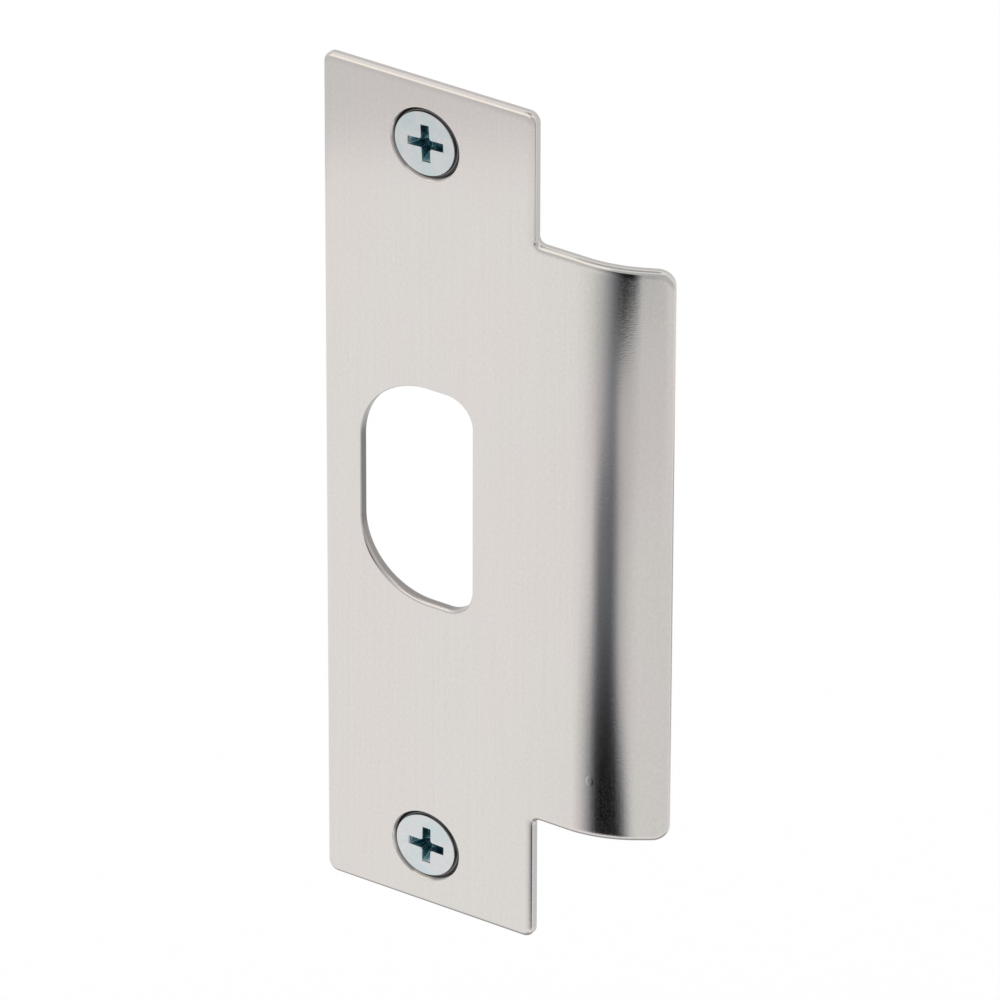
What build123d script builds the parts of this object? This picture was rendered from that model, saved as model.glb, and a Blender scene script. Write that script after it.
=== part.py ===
"""Door strike plate: one bent sheet with a curved lip, and its two countersunk screws.

Millimetres, +Z up. The origin is midway between the two screws, on the back face that lies
on the door jamb. The sheet's front faces -Y, the screws drive towards +Y, and the lip runs
towards +X and curves back round the edge of the jamb.
"""
from build123d import *
from math import cos, radians, tan
import os

# Sheet
screw_spacing = 104.775
screw_to_plate_end = 8.9
plate_width = 31.75
sheet_thickness = 1.4
back_edge_to_screw_line = 15.35
tab_corner_r = 1.5
notch_corner_r = 1.0
front_edge_r = 0.45
back_edge_r = 0.15

# Curved lip
lip_height = 85.45
lip_shelf = 5.85
lip_bend_inner_r = 16.65
lip_bend_angle = 28.7
lip_flat = 4.2
lip_corner_r = 2.4
lip_end_taper = 2.4

# Latch hole
latch_width = 16.95
latch_height = 32.0
latch_offset_x = -1.35
latch_offset_z = 0.8
latch_far_corner_r = 10.2
latch_lip_corner_r = 4.0

# Screws
screw_length = 9.525
thread_d = 4.83
thread_tip_chamfer = 0.6
head_d = 9.6
head_angle = 82.0
head_rim = 0.27
head_edge_chamfer = 0.15
head_recess = 0.1
seat_clearance = 0.03
upper_screw_turn = -3.0
lower_screw_turn = 1.0

# Cross recess in each screw head
recess_span = 5.3
recess_arm = 1.25
recess_depth = 2.3
recess_floor_span = 2.6
recess_floor_arm = 0.8
recess_root_r = 0.3

# Worked out from the sizes above
plate_length = screw_spacing + 2 * screw_to_plate_end
front_y = -sheet_thickness
lip_edge_x = plate_width - back_edge_to_screw_line
bend_x = lip_edge_x + lip_shelf
head_slope = tan(radians(head_angle / 2))
head_top_y = front_y + head_recess
rim_end_y = head_top_y + head_rim
head_underside_r = head_d / 2 + rim_end_y * head_slope
countersink_r = head_d / 2 + (rim_end_y + seat_clearance - front_y) * head_slope
screw_heights = (-screw_spacing / 2, screw_spacing / 2)
through_cut = plate_length


def bent_strip():
    """The sheet in section, flat, bend and lip, carried the whole length of the plate."""
    with BuildPart() as strip:
        with BuildSketch(Plane.XY):
            with BuildLine():
                flat = Line((-back_edge_to_screw_line, 0), (bend_x, 0))
                bend = JernArc(flat @ 1, flat % 1, lip_bend_inner_r, lip_bend_angle)
                PolarLine(bend @ 1, lip_flat, direction=bend % 1)
                offset(amount=sheet_thickness, side=Side.RIGHT)
            make_face()
        extrude(amount=plate_length / 2, both=True)
    return strip.part


def rounded_outline(corners):
    """A closed outline on the front, from (x, z, corner radius) points."""
    points = [(x, z) for x, z, _ in corners]
    radii = [radius for _, _, radius in corners]
    with BuildSketch(Plane.XZ) as outline:
        with BuildLine():
            FilletPolyline(points, radius=radii, close=True)
        make_face()
    return outline.sketch


def blank_outline():
    """The plate seen from the front: a tall strip with the lip as a step at mid height."""
    back_edge_x = -back_edge_to_screw_line
    half_plate = plate_length / 2
    half_lip = lip_height / 2
    beyond_lip_x = bend_x + lip_bend_inner_r + sheet_thickness + lip_flat
    half_beyond_lip = half_lip - (beyond_lip_x - bend_x) * tan(radians(lip_end_taper))
    return rounded_outline([
        (back_edge_x, -half_plate, tab_corner_r),
        (lip_edge_x, -half_plate, tab_corner_r),
        (lip_edge_x, -half_lip, notch_corner_r),
        (bend_x, -half_lip, 0),
        (beyond_lip_x, -half_beyond_lip, 0),
        (beyond_lip_x, half_beyond_lip, 0),
        (bend_x, half_lip, 0),
        (lip_edge_x, half_lip, notch_corner_r),
        (lip_edge_x, half_plate, tab_corner_r),
        (back_edge_x, half_plate, tab_corner_r),
    ])


def latch_outline():
    """The latch hole: large round corners on its far side, small ones by the lip."""
    half_width = latch_width / 2
    half_height = latch_height / 2
    hole = rounded_outline([
        (-half_width, -half_height, latch_far_corner_r),
        (half_width, -half_height, latch_lip_corner_r),
        (half_width, half_height, latch_lip_corner_r),
        (-half_width, half_height, latch_far_corner_r),
    ])
    return Pos(latch_offset_x, 0, latch_offset_z) * hole


def lip_corner_edges(part):
    """The two short edges across the sheet's thickness at the lip's free end."""
    free_end = part.faces().filter_by(GeomType.PLANE).sort_by(Axis.X)[-1]
    return free_end.edges().sort_by(SortBy.LENGTH)[:2]


def rim_edges(part, side):
    """The edges all round the sheet's front (side -1) or back (side +1), over flat, bend and lip."""
    least_y = cos(radians(lip_bend_angle)) - 0.01
    faces = [face for face in part.faces() if side * face.normal_at().Y > least_y]
    edges = [edge for face in faces for edge in face.edges()]
    return [edge for edge in edges if sum(edge.is_same(other) for other in edges) == 1]


def strike_plate():
    """The plate: blanked and bent, its edges rolled by the punch, its screw holes countersunk."""
    with BuildPart() as plate:
        add(bent_strip())
        extrude(blank_outline(), amount=through_cut, both=True, mode=Mode.INTERSECT)
        fillet(lip_corner_edges(plate.part), lip_corner_r)
        extrude(latch_outline(), amount=through_cut, both=True, mode=Mode.SUBTRACT)
        fillet(rim_edges(plate.part, -1), front_edge_r)
        fillet(rim_edges(plate.part, 1), back_edge_r)
        with Locations(*[Plane((0, front_y, z), z_dir=(0, -1, 0)) for z in screw_heights]):
            CounterSinkHole(thread_d / 2 + seat_clearance, countersink_r, sheet_thickness, head_angle)
    return plate.part


def cross(span, arm, depth_y):
    """A cross recess's outline at one depth, its four inner corners eased."""
    with BuildSketch(Plane((0, depth_y, 0), x_dir=(1, 0, 0), z_dir=(0, -1, 0))) as outline:
        Rectangle(span, arm)
        Rectangle(arm, span)
        roots = outline.vertices().filter_by(lambda v: max(abs(v.X), abs(v.Z)) < span / 2 - 0.01)
        fillet(roots, recess_root_r * arm / recess_arm)
    return outline.sketch


def screw():
    """One screw on the Y axis: undercut countersunk head, cross recess, thread at its outer size.

    The head's cone stops flush with the back of the sheet, so that the screw draws up tight.
    """
    thread_r = thread_d / 2
    head_r = head_d / 2
    tip_y = head_top_y + screw_length
    with BuildPart() as body:
        with BuildSketch(Plane.XY) as section:
            with BuildLine():
                Polyline(
                    (0, head_top_y),
                    (head_r, head_top_y),
                    (head_r, rim_end_y),
                    (head_underside_r, 0),
                    (thread_r, 0),
                    (thread_r, tip_y - thread_tip_chamfer),
                    (thread_r - thread_tip_chamfer, tip_y),
                    (0, tip_y),
                    close=True,
                )
            make_face()
            head_edge = section.vertices().sort_by(lambda v: v.X - v.Y)[-1]
            chamfer(head_edge, min(head_edge_chamfer, 0.9 * head_rim))
        revolve(axis=Axis.Y)
        mouth = cross(recess_span, recess_arm, head_top_y)
        floor = cross(recess_floor_span, recess_floor_arm, head_top_y + recess_depth)
        loft([mouth, floor], ruled=True, mode=Mode.SUBTRACT)
    return body.part


def placed_screws():
    """Both screws in their countersinks, each with its recess turned as it was driven."""
    names = ("lower_screw", "upper_screw")
    turns = (lower_screw_turn, upper_screw_turn)
    return {
        name: Pos(0, 0, z) * Rot(0, turn, 0) * screw()
        for name, z, turn in zip(names, screw_heights, turns)
    }


def main():
    """Write each piece to its own STEP file."""
    os.makedirs("parts", exist_ok=True)
    pieces = {"strike_plate": strike_plate(), **placed_screws()}
    for name, piece in pieces.items():
        piece.label = name
        export_step(piece, f"parts/{name}.step")


main()
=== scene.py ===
"""The looks of a door strike plate and its two screws.

The plate is one satin stainless sheet. It was blanked, its lip was bent back, and the punch drew
its front edges down a little. Two bright zinc screws sit in its countersinks. Sizes are in
millimetres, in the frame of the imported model: the front faces -Y, the lip runs towards +X, and
the screws drive towards +Y.
"""
import logging
import math
from dataclasses import dataclass, field
from enum import Enum

import bmesh
import bpy
import numpy as np
from mathutils import Matrix, Vector


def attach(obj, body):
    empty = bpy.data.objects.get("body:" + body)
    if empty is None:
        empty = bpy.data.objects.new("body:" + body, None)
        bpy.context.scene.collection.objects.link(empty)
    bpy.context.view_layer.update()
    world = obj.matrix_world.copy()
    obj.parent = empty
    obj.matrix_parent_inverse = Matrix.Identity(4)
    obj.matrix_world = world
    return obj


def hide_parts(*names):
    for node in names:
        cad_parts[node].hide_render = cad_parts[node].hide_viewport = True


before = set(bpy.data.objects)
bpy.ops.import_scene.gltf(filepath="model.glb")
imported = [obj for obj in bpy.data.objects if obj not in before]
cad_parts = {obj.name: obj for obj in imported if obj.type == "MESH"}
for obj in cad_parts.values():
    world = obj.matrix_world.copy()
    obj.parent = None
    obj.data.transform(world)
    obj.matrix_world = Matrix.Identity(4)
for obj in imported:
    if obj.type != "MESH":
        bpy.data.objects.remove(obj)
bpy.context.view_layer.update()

MM = 0.001
WELD_MM = 0.0001
TINY = 1e-6
MARK = "mark"
Colour = tuple[float, float, float]

# A fade's two ends, and a window's four: where it starts, is full, is still full and ends.
Span = tuple[float, float]
Window = tuple[float, float, float, float]

log = logging.getLogger("strike_plate")


class Face(Enum):
    """The two broad faces of the sheet."""

    FRONT = "front"
    BACK = "back"


class Tab(Enum):
    """The two plain ends of the plate, one each side of the lip. The value is the sign of Z."""

    UPPER = 1
    LOWER = -1


def polar(angle: np.ndarray) -> np.ndarray:
    """Unit directions (cosine, sine) for an array of angles in radians."""
    return np.stack([np.cos(angle), np.sin(angle)], axis=-1)


def smooth_step(value: np.ndarray, low: float, high: float) -> np.ndarray:
    """0 up to low, 1 from high on, and the cubic 3t^2 - 2t^3 between them."""
    t = np.clip((value - low) / (high - low), 0.0, 1.0)
    return t * t * (3.0 - 2.0 * t)


def opaque(colour: Colour) -> tuple[float, float, float, float]:
    """A colour with an alpha of 1, as a colour socket takes it."""
    return (*colour, 1.0)


def eased_path(
    corners: list[tuple[float, float, float]], arc_steps: int, straight_steps: int
) -> np.ndarray:
    """Points along a bent line whose corners are rounded.

    A corner of radius r that turns by an angle is replaced by the arc that touches both sides:
    it starts r * tan(turn / 2) before the corner, and its points go round the arc's centre at
    even angles. Each straight stretch is divided evenly.

    Args:
        corners: the line's corners as (first, second, radius). The ends have radius 0.
        arc_steps: how many steps each arc has.
        straight_steps: how many steps each straight stretch has.

    Returns:
        The points, as an array of n rows.
    """
    places = np.array([corner[:2] for corner in corners])
    sides = np.diff(places, axis=0)
    sides /= np.linalg.norm(sides, axis=1, keepdims=True)
    stretches = [places[:1]]
    for place, (_, _, radius), before, after in zip(places[1:], corners[1:], sides, sides[1:]):
        side = np.sign(before[0] * after[1] - before[1] * after[0])
        turn = math.acos(float(np.clip(before @ after, -1.0, 1.0)))
        start = place - before * radius * math.tan(turn / 2)
        centre = start + side * radius * np.array([-before[1], before[0]])
        angle = side * np.linspace(0.0, turn, arc_steps + 1)[:, None]
        spoke = start - centre
        crossed = np.array([-spoke[1], spoke[0]])
        stretches.append(centre + np.cos(angle) * spoke + np.sin(angle) * crossed)
    stretches.append(places[-1:])
    share = np.linspace(0.0, 1.0, straight_steps + 1)[1:-1, None]
    path = [stretches[0]]
    for last, following in zip(stretches, stretches[1:]):
        path += [last[-1] + share * (following[0] - last[-1]), following]
    return np.concatenate(path)


@dataclass(frozen=True)
class Stations:
    """Points along an outline of the flat blank, each with the way out of the metal there.

    Attributes:
        at: the points, as rows of (X along the sheet, Z).
        out: unit directions that point out of the metal, as rows of the same two.
    """

    at: np.ndarray
    out: np.ndarray

    def inset(self, distance: float) -> np.ndarray:
        """The outline moved into the metal by a distance."""
        return self.at - distance * self.out

    def backwards(self) -> "Stations":
        """The same stations in the opposite order."""
        return Stations(self.at[::-1], self.out[::-1])

    def upside_down(self) -> "Stations":
        """The stations mirrored in the plate's mid height, with Z turned to -Z."""
        return Stations(self.at * (1, -1), self.out * (1, -1))

    @staticmethod
    def loop(parts: list["Stations"]) -> "Stations":
        """One closed outline from parts that each end where the next starts."""
        at = np.concatenate([part.at[:-1] for part in parts])
        out = np.concatenate([part.out[:-1] for part in parts])
        return Stations(at, out)


@dataclass
class Skin:
    """The surface grids of one piece, gathered in millimetres and joined into one closed mesh."""

    points: list[np.ndarray] = field(default_factory=list)
    quads: list[np.ndarray] = field(default_factory=list)
    marks: list[np.ndarray] = field(default_factory=list)
    count: int = 0

    def add(self, grid: np.ndarray, mark: np.ndarray | float = 0.0) -> None:
        """Adds one grid, whose point (i, j) is joined to its neighbours by quads.

        Args:
            grid: the points, as rows, columns and (x, y, z).
            mark: how worn each point is, or how deep in a recess, from 0 to 1, or down to -1 in
            a groove. Its depth in a recess and its groove carry painted shade.
        """
        rows, columns = grid.shape[:2]
        index = self.count + np.arange(rows * columns).reshape(rows, columns)
        corners = [index[:-1, :-1], index[1:, :-1], index[1:, 1:], index[:-1, 1:]]
        self.points.append(grid.reshape(-1, 3))
        self.quads.append(np.stack(corners, axis=-1).reshape(-1, 4))
        self.marks.append(np.broadcast_to(mark, (rows, columns)).ravel())
        self.count += rows * columns

    def piece(self, name: str) -> bpy.types.Object:
        """Joins the grids at their shared edges and makes the object, with its faces outwards.

        Args:
            name: the object's name.

        Returns:
            The object, at the origin, with its place in its mesh.
        """
        points = np.concatenate(self.points) * MM
        quads = np.concatenate(self.quads)
        mesh = bpy.data.meshes.new(name)
        mesh.vertices.add(len(points))
        mesh.vertices.foreach_set("co", points.astype(np.float32).ravel())
        mesh.loops.add(quads.size)
        mesh.loops.foreach_set("vertex_index", quads.astype(np.int32).ravel())
        mesh.polygons.add(len(quads))
        mesh.polygons.foreach_set("loop_start", np.arange(0, quads.size, 4, dtype=np.int32))
        mesh.update(calc_edges=True)
        mark = mesh.attributes.new(MARK, "FLOAT", "POINT")
        mark.data.foreach_set("value", np.concatenate(self.marks).astype(np.float32))
        joined = bmesh.new()
        joined.from_mesh(mesh)
        bmesh.ops.remove_doubles(joined, verts=joined.verts, dist=WELD_MM * MM)
        bmesh.ops.recalc_face_normals(joined, faces=joined.faces)
        joined.to_mesh(mesh)
        joined.free()
        mesh.shade_smooth()
        piece = bpy.data.objects.new(name, mesh)
        bpy.context.scene.collection.objects.link(piece)
        return piece


@dataclass
class StrikePlate:
    """The bent sheet, worked out as a flat blank with a depth behind its front.

    The flat blank has X along the sheet and Z up it. The bend then rolls the blank round the
    lip's axis, so every face, wall and rolled edge follows it.

    Attributes:
        countersink_shade: how far inside a countersink's edge the painted shade starts and is
            full.
        countersink_shade_end: how far before the back face that painted shade ends.
        side_edge_r: the front round on the edges that face the lip's side, sharper than the rest.
        side_facing: the outward directions along X between which that round takes over.
        lip_end_softness: how far the lip's free end goes back to the softer round.
        latch_foot_edge_r: the front round along the lower side of the latch hole.
        latch_foot_facing: the outward directions along Z between which that round takes over.
        rolled_width: how far from an edge the punch starts to draw the front down.
        rolled_depth: how far the front is drawn down at the edge.
        shear_fade: how much depth the mark of a sheared wall fades in over.
        shear_end: how far before the back face that mark starts to fade and has ended.
        outline_shear_start: how deep that mark starts round the outline.
        outline_shear_mark: how strong it is there.
        latch_shear_start, latch_foot_shear_start: how deep it starts in the latch hole.
        taper_fade: how far on each side of the bend line the lip's edge turns into its taper.
        seat_margin: how much of each broad face belongs to a countersink's section.
    """

    screw_spacing: float = 104.775
    screw_to_end: float = 8.9
    width: float = 31.75
    thickness: float = 1.4
    back_edge_to_screws: float = 15.35
    tab_corner_r: float = 1.5
    notch_corner_r: float = 1.0
    lip_height: float = 85.45
    lip_shelf: float = 5.85
    lip_bend_inner_r: float = 16.65
    lip_bend_deg: float = 28.7
    lip_flat: float = 4.2
    lip_corner_r: float = 2.4
    lip_taper_deg: float = 2.4
    latch_width: float = 16.95
    latch_height: float = 32.0
    latch_centre: tuple[float, float] = (-1.35, 0.8)
    latch_far_corner_r: float = 10.2
    latch_lip_corner_r: float = 4.0
    countersink_r: float = 5.148
    countersink_deg: float = 82.0
    countersink_edge_r: float = 0.1
    countersink_back_edge_r: float = 0.08
    # Painted shade inside the countersinks, where they close round the screws' heads.
    countersink_shade: Span = (0.02, 0.12)
    countersink_shade_end: float = 0.1
    front_edge_r: float = 0.55
    side_edge_r: float = 0.1
    side_facing: Span = (0.8, 0.97)
    lip_end_softness: float = 0.55
    back_edge_r: float = 0.3
    latch_front_edge_r: float = 0.12
    latch_foot_edge_r: float = 0.5
    latch_foot_facing: Span = (0.2, 0.6)
    latch_back_edge_r: float = 0.15
    rolled_width: float = 1.4
    rolled_depth: float = 0.11
    latch_rolled_width: float = 0.6
    latch_rolled_depth: float = 0.02
    shear_fade: float = 0.16
    shear_end: Span = (0.2, 0.05)
    outline_shear_start: float = 0.55
    outline_shear_mark: float = 0.3
    latch_shear_start: float = 0.02
    latch_foot_shear_start: float = 0.3
    taper_fade: float = 1.0
    seat_margin: float = 0.3
    corner_steps: int = 8
    lip_corner_steps: int = 12
    edge_steps: int = 8
    seat_steps: int = 6
    latch_fine_steps: int = 180
    side_steps: int = 36
    border_steps: int = 64
    height_steps: int = 120
    lip_shelf_steps: int = 8
    lip_bend_steps: int = 36
    lip_flat_steps: int = 6
    across_steps: int = 6

    def __post_init__(self) -> None:
        """Works out the sizes that follow from the driving ones."""
        self.end_z = self.screw_spacing / 2 + self.screw_to_end
        self.back_x = -self.back_edge_to_screws
        self.tab_x = self.width - self.back_edge_to_screws
        self.bend_x = self.tab_x + self.lip_shelf
        self.bend_angle = math.radians(self.lip_bend_deg)
        self.front_bend_r = self.lip_bend_inner_r + self.thickness
        self.bend_end_x = self.bend_x + self.front_bend_r * self.bend_angle
        self.lip_end_x = self.bend_end_x + self.lip_flat
        self.split_z = self.lip_height / 2 + self.notch_corner_r
        self.taper = math.radians(self.lip_taper_deg)
        self.cone_slope = math.tan(math.radians(self.countersink_deg / 2))
        self.countersink_back_r = self.countersink_r - self.thickness * self.cone_slope

    def bent(self, flat: np.ndarray, depth: np.ndarray | float) -> np.ndarray:
        """Rolls points of the flat blank into the bent sheet.

        Up to the bend a point keeps its X. In the bend it turns about the lip's axis by its
        distance past the bend line over the front's radius, and nearer the axis by its depth.
        Past the bend it runs straight on along the lip.

        Args:
            flat: points as (..., 2), X along the sheet and Z.
            depth: how far each lies behind the front face.

        Returns:
            The points in the frame, as (..., 3).
        """
        along, height = flat[..., 0], flat[..., 1]
        turn = np.clip((along - self.bend_x) / self.front_bend_r, 0.0, self.bend_angle)
        beyond = np.maximum(along - self.bend_end_x, 0.0)
        reach = self.front_bend_r - depth
        x = np.minimum(along, self.bend_x) + reach * np.sin(turn) + beyond * np.cos(turn)
        y = self.lip_bend_inner_r - reach * np.cos(turn) + beyond * np.sin(turn)
        return np.stack([x, y, np.broadcast_to(height, x.shape)], axis=-1)

    def depth(self, face: Face) -> float:
        """How far a broad face lies behind the front."""
        return 0.0 if face is Face.FRONT else self.thickness

    def corner(self, centre: tuple[float, float], start: float, end: float) -> Stations:
        """Stations round one of the tabs' corners, from one angle in degrees to another."""
        out = polar(np.radians(np.linspace(start, end, self.corner_steps + 1)))
        return Stations(np.array(centre) + self.tab_corner_r * out, out)

    def straight(self, start: tuple[float, float], end: tuple[float, float],
                 out: tuple[float, float], steps: int) -> Stations:
        """Stations along a straight side, evenly spaced, that all look the same way."""
        at = np.linspace(start, end, steps + 1)
        return Stations(at, np.broadcast_to(np.array(out, float), at.shape))

    def tab_outline(self) -> Stations:
        """The upper tab's outline: up its left side, across its end and down its right side."""
        inner_z = self.end_z - self.tab_corner_r
        left_x, right_x = self.back_x + self.tab_corner_r, self.tab_x - self.tab_corner_r
        parts = [
            self.straight((self.back_x, self.split_z), (self.back_x, inner_z), (-1, 0),
                          self.side_steps),
            self.corner((left_x, inner_z), 180.0, 90.0),
            self.straight((left_x, self.end_z), (right_x, self.end_z), (0, 1),
                          self.border_steps),
            self.corner((right_x, inner_z), 90.0, 0.0),
            self.straight((self.tab_x, inner_z), (self.tab_x, self.split_z), (1, 0),
                          self.side_steps),
        ]
        loop = Stations.loop(parts)
        last = parts[-1]
        return Stations(np.vstack([loop.at, last.at[-1:]]), np.vstack([loop.out, last.out[-1:]]))

    def lip_edge_z(self, along: np.ndarray) -> np.ndarray:
        """The lip's upper edge: level up to the bend, then falling with the taper."""
        return self.lip_height / 2 - math.tan(self.taper) * np.maximum(along - self.bend_x, 0.0)

    def lip_outline(self) -> Stations:
        """The lip's upper outline, from the notch by the tab to the corner at its free end."""
        notch_out = polar(np.linspace(0.0, math.pi / 2, self.lip_corner_steps + 1))
        notch_x = self.tab_x + self.notch_corner_r
        notch = np.array([notch_x, self.split_z]) - self.notch_corner_r * notch_out
        corner_x = self.lip_end_x - self.lip_corner_r
        edge_z = self.lip_edge_z(np.array(corner_x))
        centre = np.array([corner_x, edge_z - self.lip_corner_r / math.cos(self.taper)])
        corner_out = polar(np.linspace(math.pi / 2 - self.taper, 0.0, self.lip_corner_steps + 1))
        corner = centre + self.lip_corner_r * corner_out
        along = np.concatenate([
            np.linspace(notch_x, self.bend_x, self.lip_shelf_steps + 1)[1:],
            np.linspace(self.bend_x, self.bend_end_x, self.lip_bend_steps + 1)[1:],
            np.linspace(self.bend_end_x, corner[0, 0], self.lip_flat_steps + 1)[1:-1],
        ])
        tilt = self.taper * smooth_step(along - self.bend_x, -self.taper_fade, self.taper_fade)
        edge = np.stack([along, self.lip_edge_z(along)], axis=-1)
        edge_out = np.stack([np.sin(tilt), np.cos(tilt)], axis=-1)
        return Stations(np.vstack([notch, edge, corner]),
                        np.vstack([notch_out, edge_out, corner_out]))

    def lip_rows(self) -> np.ndarray:
        """The shares of the lip's half height at which its rows lie, from 1 at the top to -1."""
        return np.linspace(1.0, -1.0, self.height_steps + 1)

    def end_outline(self) -> Stations:
        """The lip's free end, from the top down, with one station for each row of the lip."""
        half = self.lip_outline().at[-1, 1]
        return self.straight((self.lip_end_x, half), (self.lip_end_x, -half), (1, 0),
                             self.height_steps)

    def left_outline(self) -> Stations:
        """The plate's back edge between the two tabs, from the bottom up."""
        return self.straight((self.back_x, -self.split_z), (self.back_x, self.split_z), (-1, 0),
                             self.height_steps)

    def outline(self) -> Stations:
        """The whole outline of the blank, as one closed loop."""
        tab, lip = self.tab_outline(), self.lip_outline()
        return Stations.loop([
            tab,
            lip,
            self.end_outline(),
            lip.upside_down().backwards(),
            tab.upside_down().backwards(),
            self.left_outline(),
        ])

    def border(self) -> np.ndarray:
        """Points across the plate between the upper tab and the middle, without its ends."""
        left, right = self.back_x + self.rolled_width, self.tab_x - self.rolled_width
        x = np.linspace(left, right, self.border_steps + 1)[1:-1]
        return np.stack([x, np.full_like(x, self.split_z)], axis=-1)

    def round_hole(self, ring: np.ndarray, radius: float) -> Stations:
        """Stations on a screw hole, each on the spoke from the hole's centre to a ring point.

        Args:
            ring: points round the hole, as rows of X and Z.
            radius: the hole's radius.

        Returns:
            The stations, with the way out of the metal pointing into the hole.
        """
        centre = np.array([0.0, self.screw_spacing / 2])
        spoke = ring - centre
        spoke /= np.linalg.norm(spoke, axis=1, keepdims=True)
        return Stations(centre + radius * spoke, -spoke)

    def latch_hole(self, ring: np.ndarray) -> Stations:
        """Stations on the latch hole, each on the spoke from its centre to a ring point.

        The hole's outline is a rectangle with two radii of corner. It is worked out finely and
        read off by the angle of each spoke.

        Args:
            ring: points round the hole, as rows of X and Z.

        Returns:
            The stations, with the way out of the metal pointing into the hole.
        """
        half_x, half_z = self.latch_width / 2, self.latch_height / 2
        far, near = self.latch_far_corner_r, self.latch_lip_corner_r
        path = eased_path([
            (-half_x, 0.0, 0.0),
            (-half_x, half_z, far),
            (half_x, half_z, near),
            (half_x, -half_z, near),
            (-half_x, -half_z, far),
            (-half_x, 0.0, 0.0),
        ], arc_steps=self.latch_fine_steps, straight_steps=self.latch_fine_steps)[:-1]
        tangent = np.roll(path, -1, axis=0) - np.roll(path, 1, axis=0)
        tangent /= np.linalg.norm(tangent, axis=1, keepdims=True)
        inwards = np.stack([tangent[:, 1], -tangent[:, 0]], axis=-1)
        angle = np.arctan2(path[:, 1], path[:, 0])
        spoke = ring - np.array(self.latch_centre)
        wanted = np.arctan2(spoke[:, 1], spoke[:, 0])
        columns = np.concatenate([path, inwards], axis=1).T
        read = np.stack([np.interp(wanted, angle, column, period=2 * math.pi)
                         for column in columns], axis=-1)
        out = read[:, 2:] / np.linalg.norm(read[:, 2:], axis=1, keepdims=True)
        return Stations(read[:, :2] + np.array(self.latch_centre), out)

    def wall(self, stations: Stations, profile: np.ndarray) -> np.ndarray:
        """Carries a section round a closed outline.

        Args:
            stations: the outline.
            profile: the section as rows of (distance out of the metal, depth), or one such
                section for each station.

        Returns:
            The grid of points, with its first row repeated at the end.
        """
        flat = stations.at[:, None, :] + stations.out[:, None, :] * profile[..., :1]
        grid = self.bent(flat, profile[..., 1])
        return np.concatenate([grid, grid[:1]])

    def edge_profile(self, width: float, drop: float, front_r: float, back_r: float) -> np.ndarray:
        """The section through an edge: drawn down at the front, sheared, and eased at the back.

        The front falls by drop times the cube of the share of the width, which the shear
        leaves as a soft shoulder, and the fall dies out again down the wall.

        Args:
            width: how far from the edge the shoulder starts.
            drop: how far it has fallen at the edge.
            front_r: the round at the front.
            back_r: the round at the back.

        Returns:
            The section as rows of (distance out of the metal, depth).
        """
        path = eased_path([
            (-width, 0.0, 0.0),
            (0.0, 0.0, front_r),
            (0.0, self.thickness, back_r),
            (-width, self.thickness, 0.0),
        ], arc_steps=self.edge_steps, straight_steps=self.edge_steps)
        share = (path[:, 0] + width) / width
        fall = drop * share ** 3 * (1.0 - path[:, 1] / self.thickness)
        return np.stack([path[:, 0], path[:, 1] + fall], axis=-1)

    def seat_profile(self) -> np.ndarray:
        """The section through a countersink, out from the hole's front edge and down its cone."""
        cone = self.countersink_r - self.countersink_back_r
        return eased_path([
            (-self.seat_margin, 0.0, 0.0),
            (0.0, 0.0, self.countersink_edge_r),
            (cone, self.thickness, self.countersink_back_edge_r),
            (cone - self.seat_margin, self.thickness, 0.0),
        ], arc_steps=self.seat_steps, straight_steps=self.seat_steps)

    def sheared(self, profile: np.ndarray, start: float) -> np.ndarray:
        """How freshly sheared each point of a section is: 1 down the wall, 0 on the faces.

        Args:
            profile: the section as rows of (distance out of the metal, depth).
            start: how deep the sheared part starts.

        Returns:
            The mark of each point.
        """
        depth = profile[..., 1]
        fade, last = self.shear_end
        top = smooth_step(depth, start, start + self.shear_fade)
        return top * (1.0 - smooth_step(depth, self.thickness - fade, self.thickness - last))

    def painted_groove_shade(self, profile: np.ndarray) -> np.ndarray:
        """The painted shade down a countersink's section: 0 on the faces, and -1 inside it.

        Args:
            profile: the section as rows of (distance out of the metal, depth).

        Returns:
            The mark of each point.
        """
        end = self.thickness - self.countersink_shade_end
        inside = smooth_step(profile[:, 0], *self.countersink_shade)
        return -inside * (1.0 - smooth_step(profile[:, 1], end, self.thickness))

    def around(self, ring: np.ndarray, hole: np.ndarray, face: Face) -> np.ndarray:
        """The flat stretch between a closed ring and the ring round a hole, spoke by spoke.

        Args:
            ring: the outer ring's points.
            hole: the hole's points, one for each of the ring's.
            face: which broad face the stretch is part of.

        Returns:
            The grid of points, with its first spoke repeated at the end.
        """
        share = np.linspace(0.0, 1.0, self.across_steps + 1)[None, :, None]
        flat = ring[:, None, :] + share * (hole - ring)[:, None, :]
        grid = self.bent(flat, self.depth(face))
        return np.concatenate([grid, grid[:1]])

    def add_tab(self, skin: Skin, tab: Tab) -> None:
        """Adds a tab's two faces and the countersink between them.

        Args:
            skin: the plate's surface.
            tab: which tab.
        """
        mirror = np.array([1.0, 1.0, float(tab.value)])
        ring = np.vstack([self.tab_outline().inset(self.rolled_width), self.border()[::-1]])
        front = self.round_hole(ring, self.countersink_r)
        back_hole = self.round_hole(ring, self.countersink_back_r + self.seat_margin).at
        skin.add(mirror * self.around(ring, front.inset(self.seat_margin), Face.FRONT))
        skin.add(mirror * self.around(ring, back_hole, Face.BACK))
        profile = self.seat_profile()
        # The cone carries painted shade, from 0 on the faces to -1 inside.
        skin.add(mirror * self.wall(front, profile), self.painted_groove_shade(profile)[None, :])

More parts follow.
